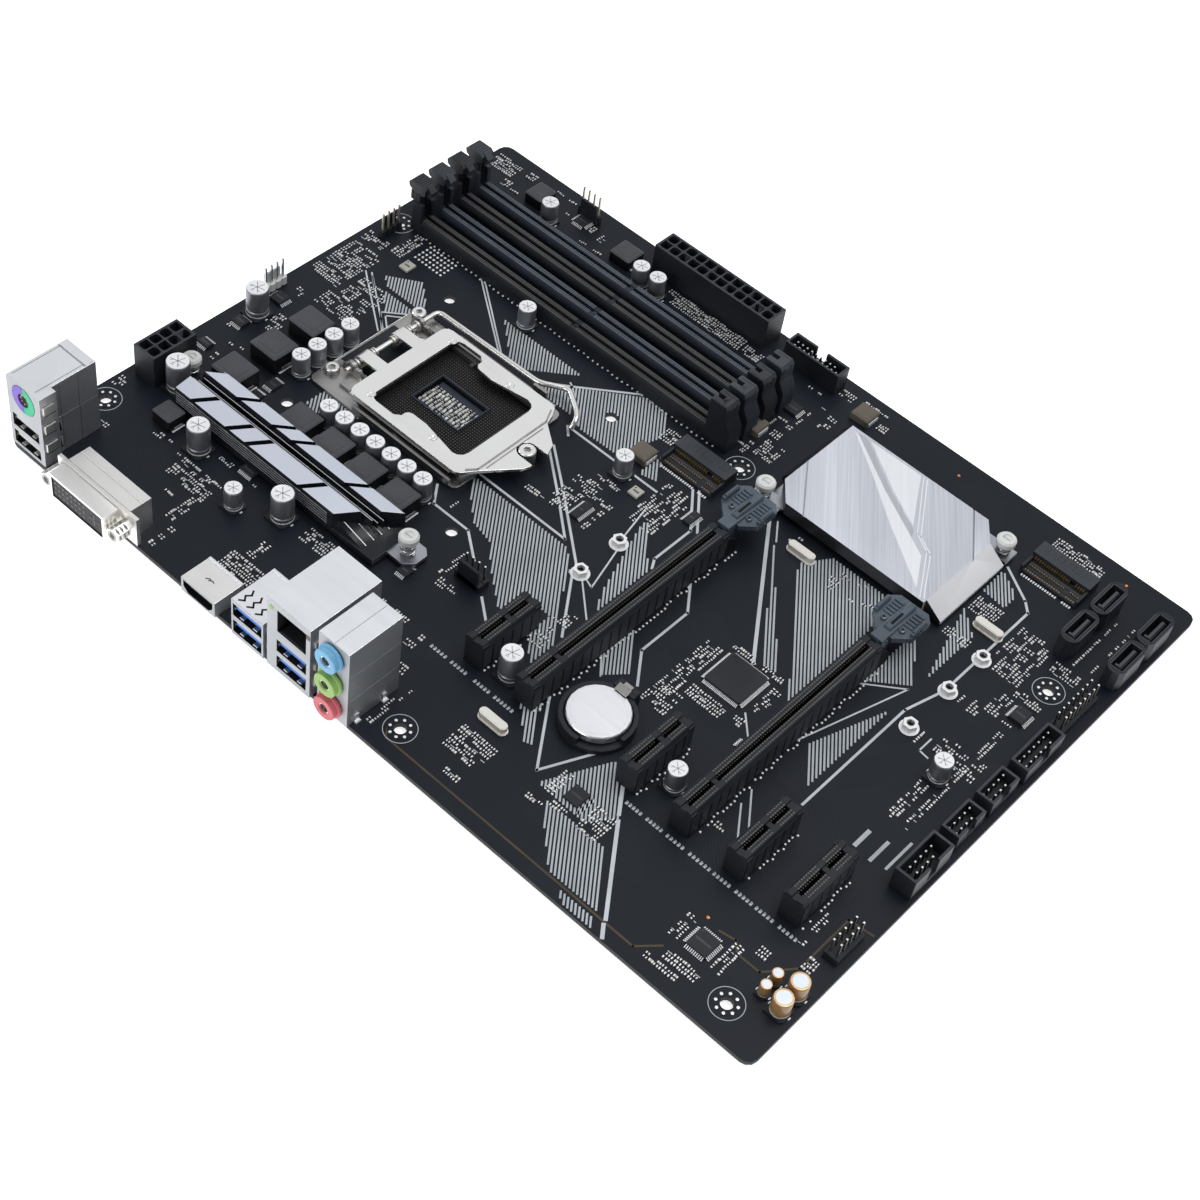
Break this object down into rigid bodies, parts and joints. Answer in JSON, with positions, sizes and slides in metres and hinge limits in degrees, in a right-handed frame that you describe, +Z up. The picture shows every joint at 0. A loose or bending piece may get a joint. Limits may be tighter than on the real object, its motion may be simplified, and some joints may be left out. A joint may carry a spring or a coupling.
{
  "type": "motherboard",
  "caption": "ATX motherboard with processor socket and load lever, memory and expansion slots with latches, rear ports, heatsinks, battery, headers and power connectors.",
  "frame": {"origin": "bottom centre of the whole board's box, on the surface it lies on", "axes": "+X along the 304.8 mm edge towards the expansion slots, +Y from the rear ports to the front edge, +Z up out of the component side"},
  "size_m": [0.3048, 0.2328, 0.0366],
  "materials": {
    "board_laminate": "black solder mask over glass-fibre laminate, satin, with pale printed lines",
    "black_plastic": "moulded black plastic, fine grain",
    "slate_plastic": "moulded slate-grey plastic, fine grain",
    "socket_plastic": "dark grey-brown moulded plastic with a grid of contacts",
    "frame_steel": "stamped plated steel",
    "polished_nickel": "bright nickel plate",
    "port_tin": "drawn tin-plated steel, satin",
    "heatsink_aluminium": "brushed aluminium, pale silver on black anodised sides",
    "latch_plastic": "smoky blue-grey plastic, slightly clear",
    "white_nylon": "white moulded nylon",
    "jack_blue": "moulded blue plastic",
    "jack_green": "moulded green plastic",
    "jack_pink": "moulded pink plastic",
    "chip_epoxy": "moulded black epoxy, fine grain",
    "capacitor_can": "satin aluminium can",
    "ferrite_grey": "pressed dark grey powder",
    "gold_contact": "gold-plated contacts",
    "solder_silver": "bright solder and tinned pins",
    "blue_plastic": "moulded blue plastic",
    "ceramic_tan": "fired tan ceramic",
    "silk_print": "pale printed ink",
    "purple_plastic": "moulded purple plastic",
    "gold_sleeve": "gold-brown capacitor sleeve",
    "steel_wire": "spring steel"
  },
  "bodies": {
    "root": {"pcb": "board_laminate", "cpu_socket": "socket_plastic", "socket_frame": "frame_steel", "socket_backplate": "frame_steel", "socket_shoulder_screw": "polished_nickel", "socket_screw_rear_1": "polished_nickel", "socket_screw_rear_2": "polished_nickel", "dimm_slot_1": "black_plastic", "dimm_slot_3": "black_plastic", "atx_power_connector": "black_plastic", "cpu_power_connector": "black_plastic", "battery_holder": "black_plastic", "m2_socket_1": "black_plastic", "m2_socket_2": "black_plastic", "front_usb3_header": "black_plastic", "serial_header": "black_plastic", "usb2_header_1": "black_plastic", "usb2_header_2": "black_plastic", "usb2_header_3": "black_plastic", "front_panel_header": "black_plastic", "cpu_fan_header": "black_plastic", "audio_header": "black_plastic", "pcie_x1_slot_1": "black_plastic", "pcie_x1_slot_2": "black_plastic", "pcie_x1_slot_3": "black_plastic", "pcie_x1_slot_4": "black_plastic", "pcie_x16_slot_1": "black_plastic", "pcie_x16_slot_2": "black_plastic", "sata_port_1": "black_plastic", "sata_port_2": "black_plastic", "sata_port_3": "black_plastic", "sata_port_4": "black_plastic", "dimm_slot_2": "slate_plastic", "dimm_slot_4": "slate_plastic", "vrm_heatsink": "heatsink_aluminium", "chipset_heatsink": "heatsink_aluminium", "vrm_push_pin_1": "white_nylon", "vrm_push_pin_2": "white_nylon", "chipset_push_pin_1": "white_nylon", "chipset_push_pin_2": "white_nylon", "ps2_usb_port": "port_tin", "dvi_port": "port_tin", "hdmi_port": "port_tin", "usb3_port_stack": "port_tin", "lan_usb_port_stack": "port_tin", "audio_port_housing": "port_tin", "audio_jack_line_in": "jack_blue", "audio_jack_line_out": "jack_green", "audio_jack_microphone": "jack_pink", "super_io_chip": "chip_epoxy"},
    "load_lever": {"load_lever": "polished_nickel"},
    "load_plate": {"load_plate": "polished_nickel"},
    "dimm_latch_1": {"dimm_latch_1": "black_plastic"},
    "dimm_latch_2": {"dimm_latch_2": "slate_plastic"},
    "dimm_latch_3": {"dimm_latch_3": "black_plastic"},
    "dimm_latch_4": {"dimm_latch_4": "slate_plastic"},
    "pcie_x16_latch_1": {"pcie_x16_latch_1": "latch_plastic"},
    "pcie_x16_latch_2": {"pcie_x16_latch_2": "latch_plastic"},
    "coin_cell": {"coin_cell": "polished_nickel"}
  },
  "joints": [
    {"name": "load_lever_hinge", "type": "hinge", "parent": "root", "child": "load_lever", "pos_m": [-0.1025, 0.0034, 0.007], "axis": [0, -1, 0], "range_deg": [0, 135]},
    {"name": "load_plate_hinge", "type": "hinge", "parent": "root", "child": "load_plate", "pos_m": [-0.1025, 0.0034, 0.007], "axis": [0, -1, 0], "range_deg": [0, 108]},
    {"name": "dimm_latch_1_hinge", "type": "hinge", "parent": "root", "child": "dimm_latch_1", "pos_m": [-0.1403, 0.0598, 0.0066], "axis": [0, -1, 0], "range_deg": [0, 26]},
    {"name": "dimm_latch_2_hinge", "type": "hinge", "parent": "root", "child": "dimm_latch_2", "pos_m": [-0.1403, 0.0692, 0.0066], "axis": [0, -1, 0], "range_deg": [0, 26]},
    {"name": "dimm_latch_3_hinge", "type": "hinge", "parent": "root", "child": "dimm_latch_3", "pos_m": [-0.1403, 0.0786, 0.0066], "axis": [0, -1, 0], "range_deg": [0, 26]},
    {"name": "dimm_latch_4_hinge", "type": "hinge", "parent": "root", "child": "dimm_latch_4", "pos_m": [-0.1403, 0.088, 0.0066], "axis": [0, -1, 0], "range_deg": [0, 26]},
    {"name": "pcie_x16_latch_1_hinge", "type": "hinge", "parent": "root", "child": "pcie_x16_latch_1", "pos_m": [0.0293, 0.0246, 0.0064], "axis": [-1, 0, 0], "range_deg": [0, 14]},
    {"name": "pcie_x16_latch_2_hinge", "type": "hinge", "parent": "root", "child": "pcie_x16_latch_2", "pos_m": [0.0903, 0.0246, 0.0064], "axis": [-1, 0, 0], "range_deg": [0, 14]},
    {"name": "coin_cell_lift", "type": "slide", "parent": "root", "child": "coin_cell", "axis": [0, 0, 1], "range_m": [0, 0.008]}
  ],
  "couplings": [
    {"joint": "load_plate_hinge", "follows": "load_lever_hinge", "ratio": 0.8}
  ]
}
